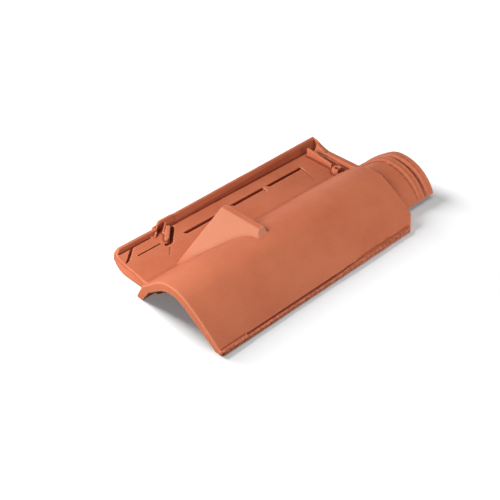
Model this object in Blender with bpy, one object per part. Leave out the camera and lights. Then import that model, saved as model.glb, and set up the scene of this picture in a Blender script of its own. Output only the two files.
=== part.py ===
"""Snow guard roof tile: one pressed and fired clay tile with a barrel, a flat pan and a snow stop.

Metres, +Z up. The tile lies on its underside. X runs across it, from the raised left rim to the barrel's
right foot, and Y runs up the roof slope, from the nose to the collar. Sizes below are given in tile
coordinates, where X = 0 is the left rim's outer face, Y = 0 the nose and Z = 0 the floor. The finished tile
is then centred on the world origin.
"""
import math

import bmesh
import bpy
from mathutils import Vector

MM = 0.001

# Overall sizes
TILE_WIDTH = 260 * MM
BARREL_LENGTH = 406 * MM
PAN_FRONT = 17 * MM
HEAD_END = 452 * MM
COLLAR_LENGTH = 80 * MM
TILE_LENGTH = BARREL_LENGTH + COLLAR_LENGTH

# Pan, ledge and left rim
LEDGE_TOP = 14.5 * MM
PAN_TOP = 12.5 * MM
PAN_UNDERSIDE = 4.5 * MM
LEDGE_WIDTH = 38 * MM
RIM_HEIGHT = 31 * MM
RIM_FRONT_HEIGHT = 25 * MM
RIM_BUMP = 1.3 * MM
RIM_BUMP_SPAN = (116 * MM, 136 * MM)
RIM_BUMP_RAMP = 6 * MM
RIM_FALL_END = 436 * MM
RIM_TOP_WIDTH = 4.2 * MM
RIM_TOP_FALL = 0.6 * MM
RIM_TOP_SLOPE = 1.17
RIM_BASE_WIDTH = 12 * MM
RIM_FOOT = 6 * MM
LOW_RIM_HEIGHT = 19.5 * MM
LOW_RIM_INSET = 4 * MM
LOW_RIM_LENGTH = 98 * MM
LOW_RIM_TOP_WIDTH = 4.5 * MM
RIM_CREASE = (32 * MM, 90 * MM)
RIM_NOSE = 8 * MM
RIM_NOSE_SLOPE = 0.6
RIM_END_LEAN = 0.6
RIM_END_SLANT = 0.8

# Front edge of the pan
CORNER_X = 7 * MM
CORNER_SETBACK = 10 * MM
CORNER_WIDTH = 41 * MM
LIP_SETBACK = 4 * MM
DRIP_BAR = 18 * MM

# Barrel
CREST_X = 165 * MM
CREST_HEIGHT = 59.3 * MM
CREST_RADIUS = 57 * MM
KNEE_X = 102 * MM
KNEE_HEIGHT = 25 * MM
FLANK_FOOT_X = 88 * MM
FILLET = 3 * MM
BARREL_WALL = 14 * MM
RUNNER_WIDTH = 13 * MM
BARREL_BULGE = 400 * MM
FOOT_EDGE = 6.8 * MM
FOOT_WIDTH = 16 * MM
FOOT_ROUND = 1.2 * MM

# Rebate along the right foot, and the corner cut off behind it
REBATE_START = 48 * MM
REBATE_X = 253.2 * MM
REBATE_FADE = (215 * MM, 300 * MM)
REBATE_FLOOR = 5.4 * MM
REBATE_RISE = 3.2 * MM
REBATE_GROOVE = 2.2 * MM
REBATE_GROOVE_DEPTH = 1 * MM
FOOT_GROOVE_X = 253.6 * MM
FOOT_GROOVE_WIDTH = 1.7 * MM
NOSE_RIGHT_CUT = (2.5 * MM, 5 * MM)
NOSE_LEFT_CUT = (2 * MM, 2 * MM)
REAR_CUT = (17 * MM, 22 * MM)

# Collar at the head of the barrel
COLLAR_X = 161 * MM
COLLAR_HEIGHT = 53 * MM
COLLAR_RADIUS = 42 * MM
COLLAR_BULGES = (208 * MM, 71 * MM)
COLLAR_LEFT = 92 * MM
COLLAR_RIGHT = 227 * MM
COLLAR_FOOT = 8 * MM
COLLAR_WALL = 14 * MM
COLLAR_OVERLAP = 8 * MM
NECK_LENGTH = 41.5 * MM
RIB_PITCH = 21 * MM
RIB_HEIGHT = 3.2 * MM
RIB_FADE = 0.8

# Snow stop
STOP_LEFT = 84 * MM
STOP_RIGHT = 168 * MM
STOP_TIP = 74 * MM
STOP_BACK = 175 * MM
STOP_HEIGHT = 66 * MM
STOP_EDGE = 10 * MM
STOP_END_SLOPE = 1.3

# Head lock of the pan
HEAD_RIB_X = 19.5 * MM
HEAD_RIB_Y = 418 * MM
HEAD_RIB_HEIGHT = 15 * MM
HEAD_RIB_FALL = 7.5 * MM
HEAD_RIB_TOP = 3.5 * MM
HEAD_RIB_BACK = 431 * MM
TROUGH_END = 438.5 * MM
UPSTAND_THICKNESS = 15 * MM
UPSTAND_HEIGHT = 6 * MM
HEAD_SLOPE = 0.5
BOSS_X = 84.5 * MM
BOSS_Y = 419.5 * MM
BOSS_RADIUS = 10.5 * MM
BOSS_HEIGHT = 8 * MM
PILOT_RADIUS = 3 * MM
PILOT_DEPTH = 7 * MM
POCKET_DEPTH = 5.5 * MM
POCKET_WIDTH = 8 * MM
CORNER_CHANNEL_END = 16.8 * MM
CORNER_WALL = 2.5 * MM

# Side lock on the ledge
SLOT_WIDTH = 3 * MM
SLOT_DEPTH = 5 * MM
SLOT_BANK = 0.9
SLOT_HOOK = 9 * MM
SLOT_RUNS = ((38.2 * MM, 133 * MM, 221 * MM), (35 * MM, 231 * MM, 299 * MM), (35.5 * MM, 309 * MM, 385 * MM))
FRONT_SLOT = (34 * MM, 50 * MM, 91 * MM)
FRONT_SLOT_DEPTH = 2.3 * MM
DAM_START = (15 * MM, 122 * MM)
DAM_REACH = 20.5 * MM
DAM_WIDTH = 7 * MM
DAM_HEIGHT = 5 * MM
DAM_SHOULDER = (20 * MM, 112.5 * MM)
DAM_SHOULDER_RADIUS = 5 * MM
DAM_GROOVE_WIDTH = 5 * MM
DAM_GROOVE = ((15 * MM, 130.6 * MM), (42.2 * MM, 103.6 * MM))
DAM_GROOVE_END = ((42 * MM, 102.5 * MM), (42.2 * MM, 95.2 * MM))
DRAIN = ((45 * MM, 99.5 * MM), (62 * MM, 83 * MM))
DRAIN_WIDTH = 1.6 * MM
CROSS_CREASE = ((46 * MM, 382.5 * MM), (80 * MM, 375 * MM))
FRONT_GROOVE = ((14.5 * MM, 53.8 * MM), (33.5 * MM, 31 * MM))
FRONT_GROOVE_DEPTH = 4 * MM
FRONT_GROOVE_WIDTH = 3.5 * MM
FRONT_GROOVE_END = ((33.8 * MM, 30.4 * MM), (35.5 * MM, 27 * MM))
LIP_THICKNESS = 3.8 * MM
POCKET_LENGTH = 12.5 * MM

# Underside
NIB_SIZE = (22 * MM, 14 * MM)
NIB_Y = 396 * MM
FIN_THICKNESS = 5 * MM
FIN_START = 9 * MM
FIN_END = 60 * MM
FIN_DROP = 9.5 * MM
FIN_X = (121 * MM, 136 * MM)

ARC_STEPS = 14
FLANK_STEPS = 7
STRAIGHT = 1000.0
BEYOND = 20 * MM


def arc_point(centre, radius, angle):
    """A point of a circle in the XZ plane, with the angle measured from +Z towards +X."""
    return (centre[0] + radius * math.sin(angle), centre[1] + radius * math.cos(angle))


def flank(centre, radius, foot, bulge, steps):
    """A flank from a crest circle down to its foot, as an arc of radius bulge that is tangent to the crest.

    Returns the angle at which the crest hands over, and the flank's points with their angles.
    """
    across, up = foot[0] - centre[0], foot[1] - centre[1]
    reach = math.hypot(across, up)
    spare = bulge - radius
    along = (bulge ** 2 - spare ** 2 - reach ** 2) / (2 * spare)
    start = math.copysign(math.atan2(abs(across), up) - math.acos(along / reach), across)
    far = (centre[0] - spare * math.sin(start), centre[1] - spare * math.cos(start))
    end = math.atan2(foot[0] - far[0], foot[1] - far[1])
    angles = [start + (end - start) * i / steps for i in range(1, steps + 1)]
    return start, [arc_point(far, bulge, a) + (a,) for a in angles]


def arch(left, right, centre, radius, bulges=(STRAIGHT, STRAIGHT), steps=(1, 1)):
    """An arch from left foot to right foot, as (x, z, angle of the surface) points."""
    start, left_flank = flank(centre, radius, left, bulges[0], steps[0])
    end, right_flank = flank(centre, radius, right, bulges[1], steps[1])
    angles = [start + (end - start) * i / ARC_STEPS for i in range(ARC_STEPS + 1)]
    return left_flank[::-1] + [arc_point(centre, radius, a) + (a,) for a in angles] + right_flank


def flank_x(z):
    """X of the barrel's steep left flank, below the knee, at height z."""
    slope = (KNEE_X - FLANK_FOOT_X) / KNEE_HEIGHT
    return FLANK_FOOT_X + z * slope


def fillet_start():
    """X at which the level pan begins to curve up into the barrel's flank."""
    return flank_x(PAN_TOP) - 3 * FILLET


def barrel_arch():
    """The barrel's outer line from its knee to the edge of its right foot."""
    centre = (CREST_X, CREST_HEIGHT - CREST_RADIUS)
    foot = (TILE_WIDTH - FOOT_EDGE, FOOT_EDGE + 0.4 * MM)
    bulges = (STRAIGHT, BARREL_BULGE)
    points = arch((KNEE_X, KNEE_HEIGHT), foot, centre, CREST_RADIUS, bulges, (1, FLANK_STEPS))
    return [(x, z) for x, z, _ in points]


def tile_outline():
    """Section of the filled tile across the slope: rim, ledge, pan, fillet, flank, barrel and foot."""
    rim_round = 0.4 * RIM_TOP_WIDTH
    rim = [(0, RIM_FOOT), (0, RIM_HEIGHT - rim_round), (rim_round, RIM_HEIGHT),
           (RIM_TOP_WIDTH, RIM_HEIGHT - RIM_TOP_FALL),
           (1.5 * RIM_TOP_WIDTH, RIM_HEIGHT - RIM_TOP_FALL - 0.5 * RIM_TOP_WIDTH * RIM_TOP_SLOPE),
           (RIM_BASE_WIDTH, LEDGE_TOP - 0.4 * MM), (RIM_BASE_WIDTH + 1.3 * MM, LEDGE_TOP)]
    pan = [(LEDGE_WIDTH, LEDGE_TOP), (fillet_start(), PAN_TOP),
           (fillet_start() + 2 * FILLET, PAN_TOP + 0.5 * MM), (flank_x(PAN_TOP + FILLET), PAN_TOP + FILLET)]
    foot = [(TILE_WIDTH - FOOT_ROUND, FOOT_EDGE), (TILE_WIDTH, FOOT_EDGE - FOOT_ROUND),
            (TILE_WIDTH, FOOT_ROUND), (TILE_WIDTH - FOOT_ROUND, 0)]
    under = [(FLANK_FOOT_X - 6 * MM, 0), (RIM_BASE_WIDTH, 0), (RIM_FOOT / 2, RIM_FOOT / 2)]
    return rim + pan + barrel_arch() + foot + under


def tunnel_outline():
    """Section of the hollow under the barrel."""
    left = (FLANK_FOOT_X + RUNNER_WIDTH, -BEYOND)
    knee = (KNEE_X + BARREL_WALL, KNEE_HEIGHT - 4 * MM)
    foot = (TILE_WIDTH - FOOT_WIDTH, 1 * MM)
    centre = (CREST_X - 1 * MM, CREST_HEIGHT - CREST_RADIUS)
    radius = CREST_RADIUS - BARREL_WALL
    crown = [(x, z) for x, z, _ in arch(knee, foot, centre, radius)]
    return [left, (left[0], 0)] + crown + [(foot[0], -BEYOND)]


def ceiling(x):
    """Height of the ceiling of the hollow under the barrel, at X."""
    line = tunnel_outline()[1:-1]
    for (near, low), (far, high) in zip(line, line[1:]):
        if near <= x <= far:
            return low + (high - low) * (x - near) / (far - near)
    return 0.0


def front_edge(x):
    """Y of the pan's front edge at floor level: straight, and swept back towards the left corner."""
    share = max(0.0, (CORNER_X + CORNER_WIDTH - x) / CORNER_WIDTH)
    return PAN_FRONT + CORNER_SETBACK * share ** 2


def front_setback(x, last):
    """How far the top of the pan's front face lies behind its foot, least at the rim and at X = last."""
    share = (x - CORNER_X) / (last - CORNER_X)
    return LIP_SETBACK * (0.4 + 0.6 * 4 * share * (1 - share))


def mesh_object(name, bm, collection, helper=True):
    """Turn a bmesh into an object of a collection, with its normals pointing out."""
    bmesh.ops.recalc_face_normals(bm, faces=bm.faces)
    mesh = bpy.data.meshes.new(name)
    bm.to_mesh(mesh)
    bm.free()
    item = bpy.data.objects.new(name, mesh)
    item.hide_render = helper
    item.display_type = 'WIRE' if helper else 'TEXTURED'
    collection.objects.link(item)
    return item


def loft(name, rings, collection, helper=True):
    """Close a stack of rings, each a list of points in the same order, into one solid."""
    bm = bmesh.new()
    loops = [[bm.verts.new(point) for point in ring] for ring in rings]
    count = len(rings[0])
    for ring, following in zip(loops, loops[1:]):
        for i in range(count):
            j = (i + 1) % count
            bm.faces.new((ring[i], ring[j], following[j], following[i]))
    bm.faces.new(loops[0])
    bm.faces.new(reversed(loops[-1]))
    return mesh_object(name, bm, collection, helper)


def along_y(name, outline, start, end, collection, lean=None, helper=True):
    """Extrude an XZ outline along Y. lean(x, z) gives how far each point of the front ring moves back."""
    lean = lean or (lambda x, z: 0.0)
    front = [(x, start + lean(x, z), z) for x, z in outline]
    back = [(x, end, z) for x, z in outline]
    return loft(name, [front, back], collection, helper)


def along_x(name, outline, start, end, collection):
    """Extrude a YZ outline along X."""
    return loft(name, [[(x, y, z) for y, z in outline] for x in (start, end)], collection)


def block(name, low, high, collection):
    """A rectangular block between two corners."""
    bm = bmesh.new()
    bmesh.ops.create_cube(bm, size=1.0)
    size = Vector(high) - Vector(low)
    bmesh.ops.scale(bm, vec=size, verts=bm.verts)
    bmesh.ops.translate(bm, vec=Vector(low) + size / 2, verts=bm.verts)
    return mesh_object(name, bm, collection)


def drum(name, x, y, bottom, top, radius, collection, taper=1.0):
    """An upright round boss or hole."""
    bm = bmesh.new()
    bmesh.ops.create_cone(bm, cap_ends=True, segments=24, radius1=radius, radius2=radius * taper,
                          depth=top - bottom)
    bmesh.ops.translate(bm, vec=(x, y, (top + bottom) / 2), verts=bm.verts)
    return mesh_object(name, bm, collection)


def bar(name, start, end, width, bottom, top, collection):
    """A straight bar or slot between two plan points, with rounded ends."""
    along = (Vector(end) - Vector(start)).normalized()
    side = Vector((-along.y, along.x)) * width / 2
    cap = along * width / 2
    corners = []
    for centre, sign in ((Vector(start), -1), (Vector(end), 1)):
        for i in range(5):
            turn = math.pi * (i / 4 - 0.5)
            corners.append(centre + sign * (cap * math.cos(turn) + side * math.sin(turn)))
    return loft(name, [[(p.x, p.y, z) for p in corners] for z in (bottom, top)], collection)


def collar_points(inset, fade=0.0):
    """The collar's arch as (x, z) points from foot to foot, set in from the rib tops by inset.

    The inset shrinks by the share fade towards the right foot, where the ribs die out.
    """
    left = (COLLAR_LEFT, COLLAR_FOOT)
    right = (COLLAR_RIGHT, COLLAR_FOOT)
    centre = (COLLAR_X, COLLAR_HEIGHT - COLLAR_RADIUS)
    crown = arch(left, right, centre, COLLAR_RADIUS, COLLAR_BULGES, (FLANK_STEPS, FLANK_STEPS))
    steepest = crown[-1][2]
    points = []
    for x, z, angle in crown:
        depth = inset * (1 - fade * max(0.0, angle / steepest) ** 3)
        points.append((x - depth * math.sin(angle), z - depth * math.cos(angle)))
    return points


def collar_section(y, inset):
    """Section of the collar at Y.

    Both ends slide along their own last segment to the height of the feet.
    """
    points = collar_points(inset, RIB_FADE)
    for end, inner in ((0, 1), (-1, -2)):
        x, z = points[end]
        share = (z - COLLAR_FOOT) / (points[inner][1] - z)
        points[end] = (x - (points[inner][0] - x) * share, COLLAR_FOOT)
    return [(x, y, z) for x, z in points]


def make_collar(collection):
    """The collar: a plain neck, then two ribs that climb slowly and drop sharply, with a groove between."""
    low = RIB_HEIGHT
    groove = low + 1 * MM
    stations = [(BARREL_LENGTH - COLLAR_OVERLAP, low)]
    first = BARREL_LENGTH + NECK_LENGTH
    for rib, before, after in ((first, low, groove), (first + RIB_PITCH, groove, 1.5 * MM)):
        stations += [(rib, before), (rib + 4 * MM, 0.3 * low), (rib + 8.5 * MM, 0.25 * low),
                     (rib + 13 * MM, 0.0), (rib + 15 * MM, 0.0), (rib + 17.5 * MM, after)]
    return loft("collar_form", [collar_section(y, inset) for y, inset in stations], collection)


def cut_collar_bore(collection):
    """The hollow of the collar, open below between its two feet."""
    crown = collar_points(COLLAR_WALL)
    outline = [(crown[0][0], -BEYOND)] + crown + [(crown[-1][0], -BEYOND)]
    along_y("collar_bore", outline, BARREL_LENGTH - COLLAR_OVERLAP - 3 * MM, TILE_LENGTH + BEYOND, collection)


def make_snow_stop(collection):
    """The snow stop: a ramp that climbs from the nose side to a level edge across pan and barrel."""
    outline = [(STOP_TIP, PAN_TOP - 2 * MM), (STOP_BACK - STOP_EDGE, STOP_HEIGHT), (STOP_BACK, STOP_HEIGHT),
               (STOP_BACK, PAN_TOP - 6 * MM), (STOP_TIP, PAN_TOP - 6 * MM)]
    left = [(STOP_LEFT, y, z) for y, z in outline]
    right = [(STOP_RIGHT - (z - CREST_HEIGHT) * STOP_END_SLOPE, y, z) for y, z in outline]
    loft("snow_stop", [left, right], collection)


def head_rib_end():
    """X of the head rib's end beside the boss."""
    return BOSS_X - BOSS_RADIUS - 1.5 * MM


def make_head_lock(collection):
    """A slanting rib and an upstand across the head of the pan, and the round boss that takes the screw."""
    low = PAN_UNDERSIDE + 4 * MM
    top = LEDGE_TOP + HEAD_RIB_HEIGHT
    rib = [(HEAD_RIB_Y, top), (HEAD_RIB_Y + HEAD_RIB_TOP, top), (HEAD_RIB_BACK, LEDGE_TOP + 3 * MM)]
    loft("head_rib", [[(x, HEAD_RIB_Y, low)] + [(x, y, z - fall) for y, z in rib] + [(x, HEAD_RIB_BACK, low)]
                      for x, fall in ((HEAD_RIB_X, 0.0), (head_rib_end(), HEAD_RIB_FALL))], collection)
    lean = lambda x, z: (z - low) * HEAD_SLOPE
    edge = PAN_TOP + UPSTAND_HEIGHT
    right = COLLAR_LEFT + COLLAR_WALL
    upstand = [(RIM_TOP_WIDTH / 2, low), (RIM_TOP_WIDTH / 2, RIM_HEIGHT - 0.7 * MM),
               (RIM_BASE_WIDTH, RIM_HEIGHT - 2 * MM), (RIM_BASE_WIDTH + 10 * MM, edge + 5 * MM),
               (RIM_BASE_WIDTH + 26 * MM, edge), (right, edge), (right, low + 1 * MM)]
    start = HEAD_END - UPSTAND_THICKNESS
    along_y("upstand", upstand, start, HEAD_END, collection, lean)
    drum("boss", BOSS_X, BOSS_Y, low, PAN_TOP + BOSS_HEIGHT, BOSS_RADIUS, collection, taper=0.8)


def make_side_lock(collection):
    """The slanting dam on the ledge and the thin lip where the high rim begins."""
    low = PAN_UNDERSIDE + 3 * MM
    top = LEDGE_TOP + DAM_HEIGHT
    x, y = DAM_START
    bar("dam", DAM_START, (x + DAM_REACH, y - DAM_REACH), DAM_WIDTH, low, top, collection)
    drum("dam_shoulder", DAM_SHOULDER[0], DAM_SHOULDER[1], low + 1 * MM, top - 2 * MM, DAM_SHOULDER_RADIUS,
         collection)
    outline = [(RIM_TOP_WIDTH, low), (RIM_TOP_WIDTH, RIM_FRONT_HEIGHT - 2.5 * MM),
               (RIM_BASE_WIDTH + 5 * MM, LEDGE_TOP + 2.5 * MM), (RIM_BASE_WIDTH + 5 * MM, low)]
    loft("rim_lip", [[(x, rim_end(x, z) + reach, z) for x, z in outline]
                     for reach in (-1 * MM, LIP_THICKNESS)], collection)


def cut_barrel_end(collection):
    """Ends the barrel at the collar, and leaves the head of the pan as a slab that runs in under it."""
    far = TILE_WIDTH + BEYOND
    slab_end = COLLAR_LEFT + COLLAR_WALL - 4 * MM
    outline = [(slab_end, -BEYOND), (far, -BEYOND), (far, CREST_HEIGHT + BEYOND),
               (fillet_start(), CREST_HEIGHT + BEYOND), (fillet_start(), PAN_TOP), (slab_end, PAN_TOP)]
    along_y("barrel_end", outline, BARREL_LENGTH, HEAD_END + BEYOND, collection)


def cut_front(collection):
    """Takes away the pan in front of its front edge and leaves the barrel's nose standing forward."""
    steps = 11
    span = flank_x(0) - CORNER_X
    columns = [CORNER_X + span * i / (steps + 1) for i in range(steps, -1, -1)]
    face_foot = RIM_FOOT / 2 + 1 * MM
    face_top = PAN_TOP - 0.5 * MM
    rings = []
    for z, share in ((-2 * MM, 0.0), (face_foot, 0.0), (face_top, 1.0), (RIM_HEIGHT + BEYOND, 1.0)):
        edge = [(x, front_edge(x) + share * front_setback(x, columns[0])) for x in columns]
        right = flank_x(z) - 0.3 * MM
        ring = [(-BEYOND, -BEYOND), (right, -BEYOND), (right, edge[0][1])] + edge + [(-BEYOND, edge[-1][1])]
        rings.append([(x, y, z) for x, y in ring])
    loft("front_cut", rings, collection)


def rim_end(x, z):
    """Y of the face that ends the high rim: it leans back and slants towards the left."""
    return LOW_RIM_LENGTH + (z - LEDGE_TOP) * RIM_END_LEAN + (RIM_BASE_WIDTH - x) * RIM_END_SLANT


def rim_top_section(y, bump):
    """Section at Y of what lies above the high rim, whose rounded top falls towards the front."""
    slope = (RIM_HEIGHT - RIM_FRONT_HEIGHT) / (RIM_FALL_END - LOW_RIM_LENGTH)
    height = RIM_HEIGHT - slope * (RIM_FALL_END - y) + bump
    rim_round = 0.4 * RIM_TOP_WIDTH
    left = rim_round - 5 * MM
    top = RIM_HEIGHT + BEYOND + 3 * MM
    right_fall = RIM_TOP_FALL + (RIM_BASE_WIDTH - RIM_TOP_WIDTH) * RIM_TOP_SLOPE
    return [(x, y, z) for x, z in (
        (left, height - 5 * MM), (rim_round, height), (RIM_TOP_WIDTH, height - RIM_TOP_FALL),
        (RIM_BASE_WIDTH, height - right_fall), (RIM_BASE_WIDTH, top), (left, top))]


def cut_rim(collection):
    """Thins and lowers the front stretch of the left rim, and lets the high rim fall towards the front."""
    top = RIM_HEIGHT + BEYOND
    block("rim_thinning", (-BEYOND, -BEYOND, -BEYOND), (LOW_RIM_INSET, LOW_RIM_LENGTH + 4 * MM, top),
          collection)
    right = RIM_BASE_WIDTH + 3 * MM
    root = LEDGE_TOP + 0.8 * MM
    outline = [(-BEYOND, LOW_RIM_HEIGHT), (LOW_RIM_INSET + LOW_RIM_TOP_WIDTH, LOW_RIM_HEIGHT),
               (RIM_BASE_WIDTH - 0.4 * MM, root), (right, root), (right, top), (-BEYOND, top)]
    loft("rim_lowering", [[(x, -BEYOND, z) for x, z in outline], [(x, rim_end(x, z), z) for x, z in outline]],
         collection)
    nose_end = PAN_FRONT + CORNER_SETBACK + RIM_NOSE
    outline = [(0, LEDGE_TOP - nose_end * RIM_NOSE_SLOPE), (nose_end, LEDGE_TOP + RIM_NOSE * RIM_NOSE_SLOPE),
               (nose_end, top + 2 * MM), (0, top + 2 * MM)]
    along_x("rim_nose", outline, -BEYOND, RIM_BASE_WIDTH, collection)
    loft("rim_fall", [rim_top_section(y, bump) for y, bump in (
        (LOW_RIM_LENGTH - BEYOND, 0.0), (RIM_BUMP_SPAN[0] - RIM_BUMP_RAMP, 0.0), (RIM_BUMP_SPAN[0], RIM_BUMP),
        (RIM_BUMP_SPAN[1], RIM_BUMP), (RIM_BUMP_SPAN[1] + RIM_BUMP_RAMP, 0.0), (RIM_FALL_END + 4 * MM, 0.0))],
         collection)
    crease_x = RIM_BASE_WIDTH + 1.3 * MM
    bar("rim_crease", (crease_x, RIM_CREASE[0]), (crease_x, RIM_CREASE[1]), 2.4 * MM, LEDGE_TOP - 3 * MM,
        top - 5 * MM, collection)
    near = RIM_BASE_WIDTH - 5.5 * MM
    far = RIM_BASE_WIDTH + 3.2 * MM
    floor = LEDGE_TOP - 2.8 * MM
    outline = [(near, floor), (near, top), (far, top), (far, floor)]
    loft("rim_pocket", [[(x, rim_end(x, z) + reach, z) for x, z in outline]
                        for reach in (LIP_THICKNESS, LIP_THICKNESS + POCKET_LENGTH)], collection)


def cut_right_foot(collection):
    """The rebate along the right foot, with a groove at its root, and the fine groove in front of it.

    The rebate grows shallower towards the head, until it runs out.
    """
    far = TILE_WIDTH + BEYOND
    bank = REBATE_X + REBATE_GROOVE
    rings = []
    for y, rise in ((REBATE_START, 0.0), (REBATE_FADE[0], 0.0), (REBATE_FADE[1], REBATE_RISE)):
        floor = REBATE_FLOOR + rise
        outline = [(REBATE_X, floor - REBATE_GROOVE_DEPTH), (bank, floor - REBATE_GROOVE_DEPTH),
                   (bank + 1 * MM, floor), (far, floor), (far, CREST_HEIGHT), (REBATE_X, CREST_HEIGHT)]
        rings.append([(x, y, z) for x, z in outline])
    loft("rebate", rings, collection)
    block("foot_groove", (FOOT_GROOVE_X, -BEYOND, REBATE_FLOOR - 0.5 * MM),
          (FOOT_GROOVE_X + FOOT_GROOVE_WIDTH, REBATE_START - 2 * MM, CREST_HEIGHT), collection)


def cut_corner(name, edge, outwards, size, collection):
    """Cuts a corner off at a slant, in plan. edge is the corner, and outwards its two signs along X and Y."""
    spare = 2 * MM
    far = (spare * size[0] / size[1], spare * size[1] / size[0])
    x_sign, y_sign = outwards
    plan = [(edge[0] + x_sign * spare, edge[1] - y_sign * (size[1] + far[1])),
            (edge[0] + x_sign * spare, edge[1] + y_sign * spare),
            (edge[0] - x_sign * (size[0] + far[0]), edge[1] + y_sign * spare)]
    loft(name, [[(x, y, z) for x, y in plan] for z in (-BEYOND, CREST_HEIGHT)], collection)


def cut_corners(collection):
    """The slanting cuts at the right foot's rear corner and at the two front corners of the nose."""
    cut_corner("rear_corner", (TILE_WIDTH, BARREL_LENGTH), (1, 1), REAR_CUT, collection)
    cut_corner("nose_right_corner", (TILE_WIDTH, 0.0), (1, -1), NOSE_RIGHT_CUT, collection)
    cut_corner("nose_left_corner", (FLANK_FOOT_X, 0.0), (-1, -1), NOSE_LEFT_CUT, collection)


def cut_ledge(collection):
    """The broken slot along the ledge, and the slanting grooves that drain it into the pan.

    Each long run has an upright left wall and a sloping bank on its right.
    """
    top = RIM_HEIGHT
    floor = LEDGE_TOP - SLOT_DEPTH
    for number, (x, start, end) in enumerate(SLOT_RUNS, 1):
        bar(f"slot_{number}", (x, start), (x, end), SLOT_WIDTH, floor, top, collection)
        bar(f"slot_hook_{number}", (x + 0.7 * MM, end - 0.5 * MM), (x + SLOT_HOOK, end - 1.5 * MM),
            SLOT_WIDTH - 0.4 * MM, floor + 1.6 * MM, top + 1 * MM, collection)
        low, high = floor + 0.5 * MM, LEDGE_TOP + 4 * MM
        foot = x + SLOT_WIDTH / 2 - 0.4 * MM
        bank = [(x, low), (foot, low), (foot + (high - low) * SLOT_BANK, high), (x, high)]
        along_y(f"slot_bank_{number}", bank, start + 1 * MM, end - 1 * MM, collection)
    x, start, end = FRONT_SLOT
    bar("front_slot", (x, start), (x, end), SLOT_WIDTH, LEDGE_TOP - FRONT_SLOT_DEPTH, top, collection)
    bar("dam_groove", *DAM_GROOVE, DAM_GROOVE_WIDTH, floor, top, collection)
    bar("dam_groove_end", *DAM_GROOVE_END, DAM_GROOVE_WIDTH + 0.5 * MM, floor + 0.5 * MM, top + 1 * MM,
        collection)
    bar("drain", *DRAIN, DRAIN_WIDTH, LEDGE_TOP - 1.5 * MM, top + 2 * MM, collection)
    bar("front_groove", *FRONT_GROOVE, FRONT_GROOVE_WIDTH, LEDGE_TOP - FRONT_GROOVE_DEPTH, top, collection)
    bar("front_groove_end", *FRONT_GROOVE_END, FRONT_GROOVE_WIDTH - 0.5 * MM,
        LEDGE_TOP - 0.5 * FRONT_GROOVE_DEPTH, top + 1 * MM, collection)
    bar("cross_crease", *CROSS_CREASE, DRAIN_WIDTH, LEDGE_TOP - 1.7 * MM, top + 2 * MM, collection)


def cut_screw_boss(collection):
    """The boss's blind pilot hole, and the pocket beside it."""
    top = PAN_TOP + BOSS_HEIGHT
    drum("pilot", BOSS_X - 0.5 * MM, BOSS_Y, top - PILOT_DEPTH, top + BEYOND, PILOT_RADIUS, collection)
    pocket_x = BOSS_X + BOSS_RADIUS - 2 * MM
    bar("pocket", (pocket_x, BOSS_Y - 2 * MM), (pocket_x, BOSS_Y + 11 * MM), POCKET_WIDTH,
        PAN_TOP - POCKET_DEPTH, top + BEYOND + 1 * MM, collection)


def cut_head_corner(collection):
    """The trough behind the head rib, and the channel between the rim and the upstand."""
    block("head_trough", (RIM_BASE_WIDTH + 3 * MM, HEAD_RIB_BACK - 0.5 * MM, LEDGE_TOP - 3 * MM),
          (head_rib_end() + 1 * MM, TROUGH_END, RIM_HEIGHT + BEYOND), collection)
    low = LEDGE_TOP - 1.2 * MM
    high = RIM_HEIGHT + BEYOND + 1 * MM
    wall_foot = RIM_BASE_WIDTH + 0.2 * MM
    wall_top = 1.2 * RIM_TOP_WIDTH
    outline = [(wall_foot, low), (CORNER_CHANNEL_END, low), (CORNER_CHANNEL_END, high), (wall_top, high),
               (wall_top, RIM_HEIGHT)]
    along_y("corner_channel", outline, TROUGH_END - 3 * MM, HEAD_END - CORNER_WALL, collection)


def cut_underside(collection):
    """The hollow under the pan, between the drip bar at the front and the runner beside the barrel."""
    block("pan_hollow", (-BEYOND, PAN_FRONT + DRIP_BAR, -BEYOND),
          (FLANK_FOOT_X, HEAD_END + BEYOND, PAN_UNDERSIDE), collection)


def make_underside(collection):
    """Two hanging nibs under the head of the pan and two stiffening fins inside the nose."""
    width, depth = NIB_SIZE
    inset = width / 2 + 4 * MM
    for number, x in enumerate((RIM_BASE_WIDTH + inset, FLANK_FOOT_X - inset), 1):
        outline = [(NIB_Y, PAN_UNDERSIDE + 2 * MM), (NIB_Y, 0), (NIB_Y + depth - 3 * MM, 0),
                   (NIB_Y + depth, PAN_UNDERSIDE + 2 * MM)]
        along_x(f"nib_{number}", outline, x - width / 2, x + width / 2, collection)
    for number, x in enumerate(FIN_X, 1):
        low = ceiling(x) - FIN_DROP
        high = ceiling(x) + BARREL_WALL / 2
        outline = [(FIN_START, high), (FIN_START, low + 3 * MM), (FIN_START + 8 * MM, low), (FIN_END, low),
                   (FIN_END + high - low, high)]
        along_x(f"fin_{number}", outline, x - FIN_THICKNESS / 2, x + FIN_THICKNESS / 2, collection)


def boolean(target, name, collection, operation):
    """Add or subtract every form of a collection."""
    modifier = target.modifiers.new(name, 'BOOLEAN')
    modifier.operation = operation
    modifier.operand_type = 'COLLECTION'
    modifier.collection = collection
    modifier.solver = 'EXACT'


def clay_material():
    """Fired red clay, matt."""
    material = bpy.data.materials.new("fired_clay")
    material.use_nodes = True
    shader = material.node_tree.nodes["Principled BSDF"]
    shader.inputs["Base Color"].default_value = (0.56, 0.16, 0.075, 1.0)
    shader.inputs["Roughness"].default_value = 0.82
    shader.inputs["Metallic"].default_value = 0.0
    return material


def new_collection(name):
    """A collection linked to the scene."""
    collection = bpy.data.collections.new(name)
    bpy.context.scene.collection.children.link(collection)
    return collection


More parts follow.
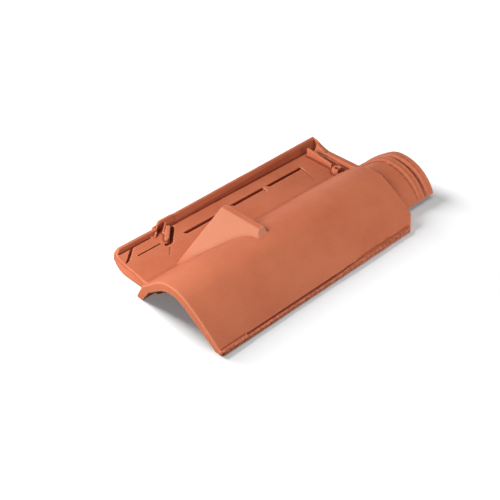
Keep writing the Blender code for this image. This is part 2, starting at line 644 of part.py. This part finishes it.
def build_tile():
    """Model the tile: a long pressed section, the forms fused to it, and everything cut out of it."""
    for item in list(bpy.data.objects):
        bpy.data.objects.remove(item)
    finished = new_collection("snow_guard_roof_tile")
    barrel_end = new_collection("barrel_end_cutter")
    forms = new_collection("fused_forms")
    cutters = new_collection("cutters")
    lugs = new_collection("underside_forms")

    tile = along_y("snow_guard_tile", tile_outline(), 0.0, HEAD_END, finished, helper=False)
    cut_barrel_end(barrel_end)

    make_collar(forms)
    make_snow_stop(forms)
    make_head_lock(forms)
    make_side_lock(forms)

    along_y("tunnel", tunnel_outline(), -BEYOND, BARREL_LENGTH - COLLAR_OVERLAP - 1 * MM, cutters)
    cut_collar_bore(cutters)
    cut_underside(cutters)
    cut_front(cutters)
    cut_rim(cutters)
    cut_right_foot(cutters)
    cut_corners(cutters)
    cut_ledge(cutters)
    cut_screw_boss(cutters)
    cut_head_corner(cutters)

    make_underside(lugs)

    boolean(tile, "end of the barrel", barrel_end, 'DIFFERENCE')
    boolean(tile, "fused forms", forms, 'UNION')
    boolean(tile, "cuts", cutters, 'DIFFERENCE')
    boolean(tile, "underside forms", lugs, 'UNION')

    centre = Vector((-TILE_WIDTH / 2, -TILE_LENGTH / 2, 0.0))
    for item in bpy.data.objects:
        item.location = centre
    tile.data.materials.append(clay_material())


build_tile()
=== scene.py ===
import math

import bmesh
import bpy
import numpy as np
from bpy.props import FloatProperty, FloatVectorProperty, IntProperty, PointerProperty
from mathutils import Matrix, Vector, noise
from mathutils.bvhtree import BVHTree
from mathutils.kdtree import KDTree


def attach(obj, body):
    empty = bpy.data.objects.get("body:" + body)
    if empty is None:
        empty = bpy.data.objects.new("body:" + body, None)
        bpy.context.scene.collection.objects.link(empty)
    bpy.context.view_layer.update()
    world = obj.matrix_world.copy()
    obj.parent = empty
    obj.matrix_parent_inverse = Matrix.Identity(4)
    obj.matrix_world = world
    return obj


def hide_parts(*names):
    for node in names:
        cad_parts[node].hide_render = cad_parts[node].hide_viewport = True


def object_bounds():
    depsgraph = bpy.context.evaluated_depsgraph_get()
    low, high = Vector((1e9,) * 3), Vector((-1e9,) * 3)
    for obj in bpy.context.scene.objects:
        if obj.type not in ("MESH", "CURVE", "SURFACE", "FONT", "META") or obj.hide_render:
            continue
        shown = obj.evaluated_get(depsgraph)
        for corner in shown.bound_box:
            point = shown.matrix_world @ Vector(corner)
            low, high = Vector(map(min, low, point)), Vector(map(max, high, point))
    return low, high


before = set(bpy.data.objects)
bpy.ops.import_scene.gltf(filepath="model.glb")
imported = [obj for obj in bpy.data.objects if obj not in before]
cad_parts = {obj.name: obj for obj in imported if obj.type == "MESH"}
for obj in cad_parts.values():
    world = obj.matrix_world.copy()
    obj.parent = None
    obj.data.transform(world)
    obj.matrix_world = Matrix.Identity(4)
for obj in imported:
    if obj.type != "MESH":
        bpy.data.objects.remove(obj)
CAD_LOW, CAD_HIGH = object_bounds()

bl_info = {
    "name": "Snow Guard Roof Tile",
    "version": (1, 0, 0),
    "blender": (4, 5, 0),
    "location": "View3D > Sidebar > Roof Tile",
    "description": "Gives a snow guard roof tile its soft fired clay body, and sets it in a pale studio",
    "category": "Object",
}

MM = 0.001
NODE = "snow_guard_tile"
PIECE = "fired_tile"

# The snow stop: which way its ramp faces, how its faces are told from the tile's, and where its sand and
# painted sheen fade.
RAMP_FACING = Vector((0.0, -0.521, 0.854)).normalized()
RAMP_MATCH = 0.999
STOP_LEFT = -48 * MM
STOP_FOOT = 14 * MM
END_LEAN = 0.5
STOP_END_FOOT = 56 * MM
STOP_BACK = -60 * MM
STOP_FADE = 14 * MM
BLEND_LEFT = -25 * MM
BLEND_BACK = -95 * MM
BLEND_SHARE = 0.7

# Points nearer than this are one point, and the pull of each smoothing pass.
WELD_DISTANCE = 0.01 * MM
SMOOTH_PULL = 0.5

# Heights at which an outer edge gets the full painted highlight and a hollow the full painted shade, found
# from every second point.
EDGE_FULL = 0.05 * MM
HOLLOW_FULL = 1.6 * MM
EDGE_STEP = 2

# Grains of the clay: waves to the metre, detail and roughness.
CLOUD_GRAIN = (13.0, 4.0, 0.5)
PATCH_GRAIN = (70.0, 3.0, 0.5)
FINE_GRAIN = (900.0, 2.0, 0.7)
COARSE_GRAIN = (260.0, 3.0, 0.6)
SPECK_GRAIN = (420.0, 1.0, 0.5)

# How deep each grain stands, and the strength of its relief.
PATCH_RELIEF = (0.5 * MM, 0.25)
COARSE_RELIEF = (0.25 * MM, 0.3)
FINE_RELIEF = (0.12 * MM, 0.35)

# Where each paler or darker colour begins and is fullest, and its least and greatest share.
CLOUD_SPAN = (0.32, 0.68, 0.0, 1.0)
PATCH_SPAN = (0.35, 0.75, 0.0, 0.35)
# The stop's paler colour: its sand, together with a painted sheen on its ramp.
SAND_AND_SHEEN_SPAN = (0.0, 1.0, 0.0, 0.75)
# Painted highlight on outer edges, from the edge value's positive side.
HIGHLIGHT_SPAN = (0.1, 0.9, 0.0, 0.75)
# Painted shade in creases and hollows, from the edge value's negative side.
CREASE_SHADE_SPAN = (0.0, -0.7, 0.0, 0.85)
SPECK_SPAN = (0.69, 0.75, 0.0, 0.15)
# Painted shade along the right foot's side face, patchy by the coarse grain.
FOOT_SHADE_STRIP = (124.0 * MM, 126.0 * MM)
FOOT_SHADE_SPAN = (0.35, 0.65, 0.1, 0.75)

# Brightness over the fine grain, roughness over the coarse one, and the clay's faint gloss.
SHADE_SPAN = (0.3, 0.7, 0.93, 1.06)
ROUGHNESS_SPAN = (0.3, 0.7, 0.74, 0.9)
CLAY_GLOSS = 0.3

# The floor's own light: least strength, its tint, and the ring in which it grows to the full glow.
FLOOR_LIFT = 0.16
FLOOR_TINT = (0.92, 0.97, 1.0)
GLOW_RING = (0.3, 0.8)
FLOOR_ROUGHNESS = 0.9
FLOOR_GLOSS = 0.1

# The camera's film width in millimetres, and how far it sees in metres.
FILM_WIDTH = 36.0
FAR_END = 500.0

# Side and place of each lamp, in metres, and the spot that it faces.
TILE_MIDDLE = (0.0, 0.0, 0.02)
KEY_LAMP = (0.9, (-0.42, -1.22, 0.95), TILE_MIDDLE)
FRONT_LAMP = (0.5, (-0.12, -0.6, 0.75), (0.0, -0.2, 0.04))
FILL_LAMP = (0.3, (0.75, 0.35, 0.12), (0.1, 0.1, 0.03))
BACK_LAMP = (0.6, (-0.9, 0.9, 0.35), TILE_MIDDLE)
FLOOR_TOP_LAMP = (2.0, (0.0, 0.05, 2.4), TILE_MIDDLE)
FLOOR_SIDE_LAMP = (0.8, (-1.55, -0.3, 1.05), TILE_MIDDLE)


class TileSizes(bpy.types.PropertyGroup):
    """Sizes of the clay body's softening and relief."""
    voxel: FloatProperty(name="Mesh Size", description="Pitch of the fine mesh before it is thinned",
                         default=0.8 * MM, min=0.5 * MM, max=4 * MM, unit='LENGTH')
    edge_passes: IntProperty(name="Edge Passes", description="Smoothing passes that round every edge",
                             default=6, min=0, max=60)
    join_passes: IntProperty(name="Join Passes",
                             description="Smoothing passes where the stop meets the barrel",
                             default=50, min=0, max=200)
    join_reach: FloatProperty(name="Join Reach",
                              description="Width of clay pressed smooth around that join",
                              default=6 * MM, min=0.0, unit='LENGTH')
    hollow_passes: IntProperty(name="Hollow Passes",
                               description="Smoothing passes of the copy that finds hollows",
                               default=60, min=0, max=200)
    blend_reach: FloatProperty(name="Blend Reach",
                               description="Distance that the stop's sand and painted sheen spread past its join",
                               default=12 * MM, min=1 * MM, unit='LENGTH')
    sway: FloatProperty(name="Sway", description="Depth of the body's slow unevenness",
                        default=0.3 * MM, min=0.0, unit='LENGTH')
    sway_length: FloatProperty(name="Sway Length", description="Distance between two slow swells",
                               default=70 * MM, min=1 * MM, unit='LENGTH')
    ripple: FloatProperty(name="Ripple", description="Depth of the small unevenness",
                          default=0.07 * MM, min=0.0, unit='LENGTH')
    ripple_length: FloatProperty(name="Ripple Length", description="Distance between two small ripples",
                                 default=9 * MM, min=1 * MM, unit='LENGTH')
    triangles: IntProperty(name="Triangles", description="Most triangles that the finished tile may have",
                           default=185000, min=1000)


class ClayFinish(bpy.types.PropertyGroup):
    """Colours of the fired clay, and of its painted edge highlight, painted sheen and painted shade."""
    body: FloatVectorProperty(name="Clay", description="Colour of the fired clay",
                              default=(0.5, 0.125, 0.055), subtype='COLOR', min=0.0, max=1.0)
    pale: FloatVectorProperty(name="Pale Clay", description="Colour where the clay fired paler",
                              default=(0.58, 0.165, 0.078), subtype='COLOR', min=0.0, max=1.0)
    sand_and_sheen: FloatVectorProperty(name="Sand And Sheen", description="Colour of the stop's front face: its sand, with a painted sheen",
                                default=(0.565, 0.225, 0.13), subtype='COLOR', min=0.0, max=1.0)
    painted_highlight: FloatVectorProperty(name="Edge Highlight", description="Colour of the painted highlight on outer edges",
                              default=(0.64, 0.215, 0.11), subtype='COLOR', min=0.0, max=1.0)
    painted_shade: FloatVectorProperty(name="Deep Corner", description="Colour of the painted shade in creases, grooves and along the right foot",
                              default=(0.2, 0.035, 0.015), subtype='COLOR', min=0.0, max=1.0)
    speck: FloatVectorProperty(name="Specks", description="Colour of the dark grains in the clay",
                               default=(0.25, 0.06, 0.035), subtype='COLOR', min=0.0, max=1.0)


class StudioSettings(bpy.types.PropertyGroup):
    """Camera, lights and floor."""
    eye: FloatVectorProperty(name="Eye", description="Place of the camera",
                             default=(0.7861, -0.8459, 0.8356), subtype='XYZ', unit='LENGTH')
    azimuth: FloatProperty(name="Azimuth", description="Turn of the view round the tile",
                           default=math.radians(45.22), subtype='ANGLE')
    elevation: FloatProperty(name="Elevation", description="How far the view looks down",
                             default=math.radians(36.78), subtype='ANGLE')
    lens: FloatProperty(name="Lens", description="Focal length of the camera in millimetres",
                        default=69.12, min=1.0)
    floor_size: FloatProperty(name="Floor Size", description="Side of the square floor",
                              default=400.0, min=1.0, unit='LENGTH')
    floor_color: FloatVectorProperty(name="Floor", description="Colour of the floor",
                                     default=(0.9, 0.9, 0.9), subtype='COLOR', min=0.0, max=1.0)
    glow: FloatProperty(name="Backdrop Glow", description="Light given off by the floor away from the tile",
                        default=0.9, min=0.0)
    key_power: FloatProperty(name="Key Power", description="Strength of the tile's main light in watts",
                             default=29.0, min=0.0)
    front_power: FloatProperty(name="Front Power",
                               description="Strength of the near light in front of the nose",
                               default=2.6, min=0.0)
    fill_power: FloatProperty(name="Fill Power",
                              description="Strength of the low light beside the right foot",
                              default=3.9, min=0.0)
    back_power: FloatProperty(name="Back Power",
                              description="Strength of the low light behind the left rim",
                              default=4.5, min=0.0)
    top_power: FloatProperty(name="Floor Top Power", description="Strength of the floor's light from above",
                             default=17.0, min=0.0)
    side_power: FloatProperty(name="Floor Side Power",
                              description="Strength of the floor's low light from the left",
                              default=58.0, min=0.0)
    sky_strength: FloatProperty(name="Room Light", description="Strength of the even light from all round",
                                default=0.12, min=0.0)


def welded_copy(name):
    """A bmesh copy of a CAD node, with its loose triangles merged."""
    bm = bmesh.new()
    bm.from_mesh(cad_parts[name].data)
    bmesh.ops.remove_doubles(bm, verts=bm.verts, dist=WELD_DISTANCE)
    bmesh.ops.recalc_face_normals(bm, faces=bm.faces)
    return bm


def evaluated_mesh(mesh, name, add_modifiers):
    """A new mesh: the given one after the modifiers that add_modifiers puts on an object of it."""
    holder = bpy.data.objects.new(name, mesh)
    bpy.context.scene.collection.objects.link(holder)
    add_modifiers(holder)
    graph = bpy.context.evaluated_depsgraph_get()
    result = bpy.data.meshes.new_from_object(holder.evaluated_get(graph))
    bpy.data.objects.remove(holder)
    bpy.data.meshes.remove(mesh)
    return result


def positions(mesh):
    """The mesh's points as an array."""
    flat = np.empty(len(mesh.vertices) * 3, np.float32)
    mesh.vertices.foreach_get("co", flat)
    return flat.reshape(-1, 3)


def normals(mesh):
    """The mesh's point normals as an array."""
    flat = np.empty(len(mesh.vertices) * 3, np.float32)
    mesh.vertex_normals.foreach_get("vector", flat)
    return flat.reshape(-1, 3)


def faces_stop(face):
    """True for a face of the snow stop's ramp or of its sloping right end."""
    middle = face.calc_center_median()
    ramp = face.normal.dot(RAMP_FACING) > RAMP_MATCH and middle.x > STOP_LEFT and middle.z > STOP_FOOT
    return ramp or (face.normal.x > END_LEAN and middle.z > STOP_END_FOOT and middle.y < STOP_BACK)


def join_points(bm, pitch):
    """Points along the inner corners where the snow stop's ramp meets the rest of the tile."""
    points = []
    for edge in bm.edges:
        if len(edge.link_faces) != 2 or edge.is_convex:
            continue
        if faces_stop(edge.link_faces[0]) != faces_stop(edge.link_faces[1]):
            start, end = (v.co for v in edge.verts)
            count = max(1, int((end - start).length / pitch))
            points += [start.lerp(end, i / count) for i in range(count + 1)]
    return points


def near_weights(points, spots, reach):
    """A weight for each point, 1 at the spots and 0 beyond reach from them."""
    tree = KDTree(len(spots))
    for index, spot in enumerate(spots):
        tree.insert(spot, index)
    tree.balance()
    low = np.min(spots, axis=0) - reach
    high = np.max(spots, axis=0) + reach
    weights = np.zeros(len(points), np.float32)
    for index in np.nonzero(np.all((points > low) & (points < high), axis=1))[0]:
        share = 1.0 - tree.find(points[index])[2] / reach
        if share > 0:
            weights[index] = share * share * (3 - 2 * share)
    return weights


def bulge(mesh):
    """How far each point stands out from its neighbours along its normal: positive on outer edges."""
    points = positions(mesh)
    ends = np.empty(len(mesh.edges) * 2, np.int32)
    mesh.edges.foreach_get("vertices", ends)
    start, end = ends.reshape(-1, 2).T
    count = np.bincount(ends, minlength=len(points)).clip(1)
    middle = np.empty_like(points)
    for axis in range(3):
        ahead = np.bincount(start, points[end, axis], len(points))
        behind = np.bincount(end, points[start, axis], len(points))
        middle[:, axis] = (ahead + behind) / count
    return np.sum((points - middle) * normals(mesh), axis=1)


def press(mesh, sizes):
    """Gives the fine mesh the slow unevenness of pressed clay, inside the CAD box."""
    points = positions(mesh)
    facing = normals(mesh)
    shift = np.empty(len(points), np.float32)
    for index, point in enumerate(points):
        place = Vector(point)
        shift[index] = (sizes.sway * noise.noise(place / sizes.sway_length)
                        + sizes.ripple * noise.noise(place / sizes.ripple_length))
    points = points + facing * shift[:, None]
    points = np.clip(points, np.array(CAD_LOW), np.array(CAD_HIGH)).astype(np.float32)
    mesh.vertices.foreach_set("co", points.ravel())
    mesh.update()


def set_attribute(mesh, name, values):
    """Stores one number for each point."""
    layer = mesh.attributes.new(name, 'FLOAT', 'POINT')
    layer.data.foreach_set("value", np.ascontiguousarray(values, np.float32))


def nearest_values(mesh, source_points, source_values, step):
    """Values of the nearest source points, for each point of a mesh. One source point in step is used."""
    points = source_points[::step]
    values = source_values[::step]
    tree = KDTree(len(points))
    for index, point in enumerate(points):
        tree.insert(point, index)
    tree.balance()
    return np.array([values[tree.find(point)[1]] for point in positions(mesh)], np.float32)


def stop_mask(mesh, bm, spots, reach):
    """1 on the snow stop, fading out at its low tip and onto the barrel beside the inner corners' spots."""
    tree = BVHTree.FromBMesh(bm)
    bm.faces.ensure_lookup_table()
    on_stop = [faces_stop(face) for face in bm.faces]
    points = positions(mesh)
    mask = np.array([float(on_stop[tree.find_nearest(Vector(point))[2]]) for point in points])
    mask *= ((points[:, 2] - STOP_FOOT) / STOP_FADE).clip(0.0, 1.0)
    low_spots = [spot for spot in spots if spot.x > BLEND_LEFT and spot.y < BLEND_BACK]
    beside = near_weights(points, low_spots, reach)
    return np.maximum(mask, BLEND_SHARE * beside)


def link(tree, start, end):
    """Join two sockets."""
    tree.links.new(start, end)


def node(tree, kind, **values):
    """A new shader node with its input values by name."""
    item = tree.nodes.new(kind)
    for name, value in values.items():
        item.inputs[name.replace("_", " ").title()].default_value = value
    return item


def colour_mix(tree, factor, first, second):
    """A colour mix of two sockets or colours, and its result."""
    mix = tree.nodes.new("ShaderNodeMix")
    mix.data_type = 'RGBA'
    for socket, value in ((mix.inputs[0], factor), (mix.inputs[6], first), (mix.inputs[7], second)):
        if isinstance(value, bpy.types.NodeSocket):
            link(tree, value, socket)
        else:
            socket.default_value = value
    return mix.outputs[2]


def spread(tree, value, low, high, to_low=0.0, to_high=1.0):
    """Spreads a socket's range from low and high to to_low and to_high."""
    item = tree.nodes.new("ShaderNodeMapRange")
    link(tree, value, item.inputs[0])
    for socket, number in zip(item.inputs[1:5], (low, high, to_low, to_high)):
        socket.default_value = number
    return item.outputs[0]


def fired_clay(finish):
    """Matt red clay with slow changes of tone, fine grain, a painted highlight on outer edges, painted shade
    in creases and along the right foot's side, and a sanded stop that also carries a painted sheen.
    """
    material = bpy.data.materials.new("fired_clay")
    material.use_nodes = True
    tree = material.node_tree
    shader = tree.nodes["Principled BSDF"]
    place = tree.nodes.new("ShaderNodeTexCoord").outputs["Object"]

    def grain(scale, detail, roughness):
        item = node(tree, "ShaderNodeTexNoise", scale=scale, detail=detail, roughness=roughness)
        link(tree, place, item.inputs["Vector"])
        return item.outputs["Fac"]

    def attribute(name):
        item = tree.nodes.new("ShaderNodeAttribute")
        item.attribute_name = name
        return item.outputs["Fac"]

    def mixed(share, first, second):
        return colour_mix(tree, share, first, second[:] + (1.0,))

    cloud = grain(*CLOUD_GRAIN)
    patch = grain(*PATCH_GRAIN)
    fine = grain(*FINE_GRAIN)
    coarse = grain(*COARSE_GRAIN)
    specks = grain(*SPECK_GRAIN)

    colour = mixed(spread(tree, cloud, *CLOUD_SPAN), finish.body[:] + (1.0,), finish.pale)
    colour = mixed(spread(tree, patch, *PATCH_SPAN), colour, finish.pale)
    # The stop's paler colour is its sand together with a painted sheen.
    colour = mixed(spread(tree, attribute("stop"), *SAND_AND_SHEEN_SPAN), colour, finish.sand_and_sheen)
    # Painted highlight on outer edges.
    colour = mixed(spread(tree, attribute("edge"), *HIGHLIGHT_SPAN), colour, finish.painted_highlight)
    # Painted shade in creases and hollows.
    colour = mixed(spread(tree, attribute("edge"), *CREASE_SHADE_SPAN), colour, finish.painted_shade)
    # Painted shade along the right foot's side face.
    across = tree.nodes.new("ShaderNodeSeparateXYZ")
    link(tree, place, across.inputs[0])
    foot = tree.nodes.new("ShaderNodeMath")
    foot.operation = 'MULTIPLY'
    link(tree, spread(tree, across.outputs["X"], *FOOT_SHADE_STRIP), foot.inputs[0])
    link(tree, spread(tree, coarse, *FOOT_SHADE_SPAN), foot.inputs[1])
    colour = mixed(foot.outputs[0], colour, finish.painted_shade)
    colour = mixed(spread(tree, specks, *SPECK_SPAN), colour, finish.speck)
    shade = spread(tree, fine, *SHADE_SPAN)
    item = tree.nodes.new("ShaderNodeVectorMath")
    item.operation = 'SCALE'
    link(tree, colour, item.inputs[0])
    link(tree, shade, item.inputs["Scale"])
    link(tree, item.outputs[0], shader.inputs["Base Color"])

    link(tree, spread(tree, coarse, *ROUGHNESS_SPAN), shader.inputs["Roughness"])
    shader.inputs["Specular IOR Level"].default_value = CLAY_GLOSS

    bump = None
    for height, (distance, strength) in ((patch, PATCH_RELIEF), (coarse, COARSE_RELIEF), (fine, FINE_RELIEF)):
        step = node(tree, "ShaderNodeBump", distance=distance, strength=strength)
        link(tree, height, step.inputs["Height"])
        if bump:
            link(tree, bump, step.inputs["Normal"])
        bump = step.outputs["Normal"]
    link(tree, bump, shader.inputs["Normal"])
    return material


def floor_finish(colour, glow):
    """The plain pale floor. It glows a little, and more away from the tile, as a lit backdrop does."""
    material = bpy.data.materials.new("studio_floor")
    material.use_nodes = True
    tree = material.node_tree
    shader = tree.nodes["Principled BSDF"]
    place = tree.nodes.new("ShaderNodeTexCoord").outputs["Object"]
    reach = tree.nodes.new("ShaderNodeVectorMath")
    reach.operation = 'LENGTH'
    link(tree, place, reach.inputs[0])
    level = spread(tree, reach.outputs["Value"], *GLOW_RING, FLOOR_LIFT, glow)
    link(tree, level, shader.inputs["Emission Strength"])
    shader.inputs["Emission Color"].default_value = FLOOR_TINT + (1.0,)
    shader.inputs["Base Color"].default_value = tuple(colour) + (1.0,)
    shader.inputs["Roughness"].default_value = FLOOR_ROUGHNESS
    shader.inputs["Specular IOR Level"].default_value = FLOOR_GLOSS
    return material


def soft_light(name, power, lamp_setup, lit):
    """A square soft light, out of the camera's sight, that lights the objects of the collection lit."""
    size, place, target = lamp_setup
    lamp = bpy.data.lights.new(name, 'AREA')
    lamp.energy = power
    lamp.size = size
    item = bpy.data.objects.new(name, lamp)
    item.location = place
    item.rotation_euler = (Vector(target) - Vector(place)).to_track_quat('-Z', 'Y').to_euler()
    item.visible_camera = False
    item.light_linking.receiver_collection = lit
    bpy.context.scene.collection.objects.link(item)


def lit_group(name, items):
    """A collection of the objects that a light shines on."""
    group = bpy.data.collections.new(name)
    for item in items:
        group.objects.link(item)
    return group


class TILE_OT_body(bpy.types.Operator):
    """Make the tile's fired clay body, with soft edges, over its hard solid"""
    bl_idname = "tile.body"
    bl_label = "Clay Body"

    def execute(self, context):
        sizes = context.scene.tile_sizes
        hard = welded_copy(NODE)
        spots = join_points(hard, sizes.voxel)
        if not spots:
            raise RuntimeError("the snow stop's inner corners weren't found")
        start = bpy.data.meshes.new("clay_start")
        hard.to_mesh(start)

        def remesh(item):
            step = item.modifiers.new("fine mesh", 'REMESH')
            step.mode = 'VOXEL'
            step.voxel_size = sizes.voxel

        fine = evaluated_mesh(start, "clay_fine", remesh)
        weights = near_weights(positions(fine), spots, sizes.join_reach)

        def soften(item):
            edges = item.modifiers.new("soft edges", 'SMOOTH')
            edges.factor = SMOOTH_PULL
            edges.iterations = sizes.edge_passes
            group = item.vertex_groups.new(name="stop join")
            for index in np.nonzero(weights)[0]:
                group.add([int(index)], float(weights[index]), 'REPLACE')
            join = item.modifiers.new("soft join", 'SMOOTH')
            join.factor = SMOOTH_PULL
            join.iterations = sizes.join_passes
            join.vertex_group = group.name

        soft = evaluated_mesh(fine, "clay_soft", soften)

        def flatten(item):
            step = item.modifiers.new("flat copy", 'SMOOTH')
            step.factor = SMOOTH_PULL
            step.iterations = sizes.hollow_passes

        flat = evaluated_mesh(soft.copy(), "clay_flat", flatten)
        wide = np.sum((positions(soft) - positions(flat)) * normals(soft), axis=1)
        bpy.data.meshes.remove(flat)
        # The edge value: positive on outer edges, where it gives the painted highlight, and negative in
        # creases and hollows, where it gives the painted shade, which is lifted at the stop's join.
        edge = (bulge(soft) / EDGE_FULL + wide / HOLLOW_FULL).clip(-1.0, 1.0)
        edge = np.where(edge < 0.0, edge * (1.0 - weights), edge)
        edge_places = positions(soft).copy()
        press(soft, sizes)

        def thin(item):
            step = item.modifiers.new("thinning", 'DECIMATE')
            step.ratio = min(1.0, sizes.triangles / (2 * len(item.data.polygons)))

        mesh = evaluated_mesh(soft, "clay_thin", thin)
        mesh.name = PIECE
        set_attribute(mesh, "edge", nearest_values(mesh, edge_places, edge, EDGE_STEP))
        set_attribute(mesh, "stop", stop_mask(mesh, hard, spots, sizes.blend_reach))
        hard.free()
        mesh.shade_smooth()
        mesh.materials.clear()
        mesh.materials.append(fired_clay(context.scene.clay_finish))
        tile = bpy.data.objects.new(PIECE, mesh)
        context.scene.collection.objects.link(tile)
        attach(tile, "root")
        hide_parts(NODE)
        return {'FINISHED'}


class TILE_OT_stage(bpy.types.Operator):
    """Set up the pale floor, the soft lights and the camera"""
    bl_idname = "tile.stage"
    bl_label = "Studio"

    def execute(self, context):
        scene = context.scene
        studio = scene.tile_studio
        bm = bmesh.new()
        bmesh.ops.create_grid(bm, x_segments=1, y_segments=1, size=studio.floor_size / 2)
        mesh = bpy.data.meshes.new("floor")
        bm.to_mesh(mesh)
        bm.free()
        mesh.materials.append(floor_finish(studio.floor_color, studio.glow))
        floor = bpy.data.objects.new("floor", mesh)
        scene.collection.objects.link(floor)
        floor.visible_diffuse = False

        tile_group = lit_group("tile_light", [bpy.data.objects[PIECE]])
        floor_group = lit_group("floor_light", [floor])
        soft_light("key", studio.key_power, KEY_LAMP, tile_group)
        soft_light("front", studio.front_power, FRONT_LAMP, tile_group)
        soft_light("fill", studio.fill_power, FILL_LAMP, tile_group)
        soft_light("back", studio.back_power, BACK_LAMP, tile_group)
        soft_light("floor_top", studio.top_power, FLOOR_TOP_LAMP, floor_group)
        soft_light("floor_side", studio.side_power, FLOOR_SIDE_LAMP, floor_group)
        world = bpy.data.worlds.new("room")
        world.use_nodes = True
        sky = world.node_tree.nodes["Background"]
        sky.inputs["Color"].default_value = (1.0, 1.0, 1.0, 1.0)
        sky.inputs["Strength"].default_value = studio.sky_strength
        scene.world = world
        scene.view_settings.view_transform = 'Standard'

        camera = bpy.data.cameras.new("camera")
        camera.lens = studio.lens
        camera.sensor_width = FILM_WIDTH
        camera.clip_end = FAR_END
        eye = bpy.data.objects.new("camera", camera)
        eye.location = studio.eye
        eye.rotation_euler = (math.pi / 2 - studio.elevation, 0.0, studio.azimuth)
        scene.collection.objects.link(eye)
        scene.camera = eye
        return {'FINISHED'}


class TILE_PT_panel(bpy.types.Panel):
    """Buttons and sizes of the roof tile"""
    bl_label = "Snow Guard Roof Tile"
    bl_idname = "TILE_PT_panel"
    bl_space_type = 'VIEW_3D'
    bl_region_type = 'UI'
    bl_category = "Roof Tile"

    def draw(self, context):
        layout = self.layout
        for operator, group in ((TILE_OT_body, context.scene.tile_sizes),
                                (None, context.scene.clay_finish),
                                (TILE_OT_stage, context.scene.tile_studio)):
            box = layout.box()
            if operator:
                box.operator(operator.bl_idname)
            for name in group.__annotations__:
                box.prop(group, name)


CLASSES = (TileSizes, ClayFinish, StudioSettings, TILE_OT_body, TILE_OT_stage, TILE_PT_panel)


def register():
    """Add the classes and their settings."""
    for item in CLASSES:
        bpy.utils.register_class(item)
    bpy.types.Scene.tile_sizes = PointerProperty(type=TileSizes)
    bpy.types.Scene.clay_finish = PointerProperty(type=ClayFinish)
    bpy.types.Scene.tile_studio = PointerProperty(type=StudioSettings)


def unregister():
    """Remove the settings and the classes."""
    del bpy.types.Scene.tile_studio
    del bpy.types.Scene.clay_finish
    del bpy.types.Scene.tile_sizes
    for item in reversed(CLASSES):
        bpy.utils.unregister_class(item)


def main():
    """Build the tile and its studio."""
    register()
    bpy.ops.tile.body()
    bpy.ops.tile.stage()


if __name__ == "__main__":
    main()
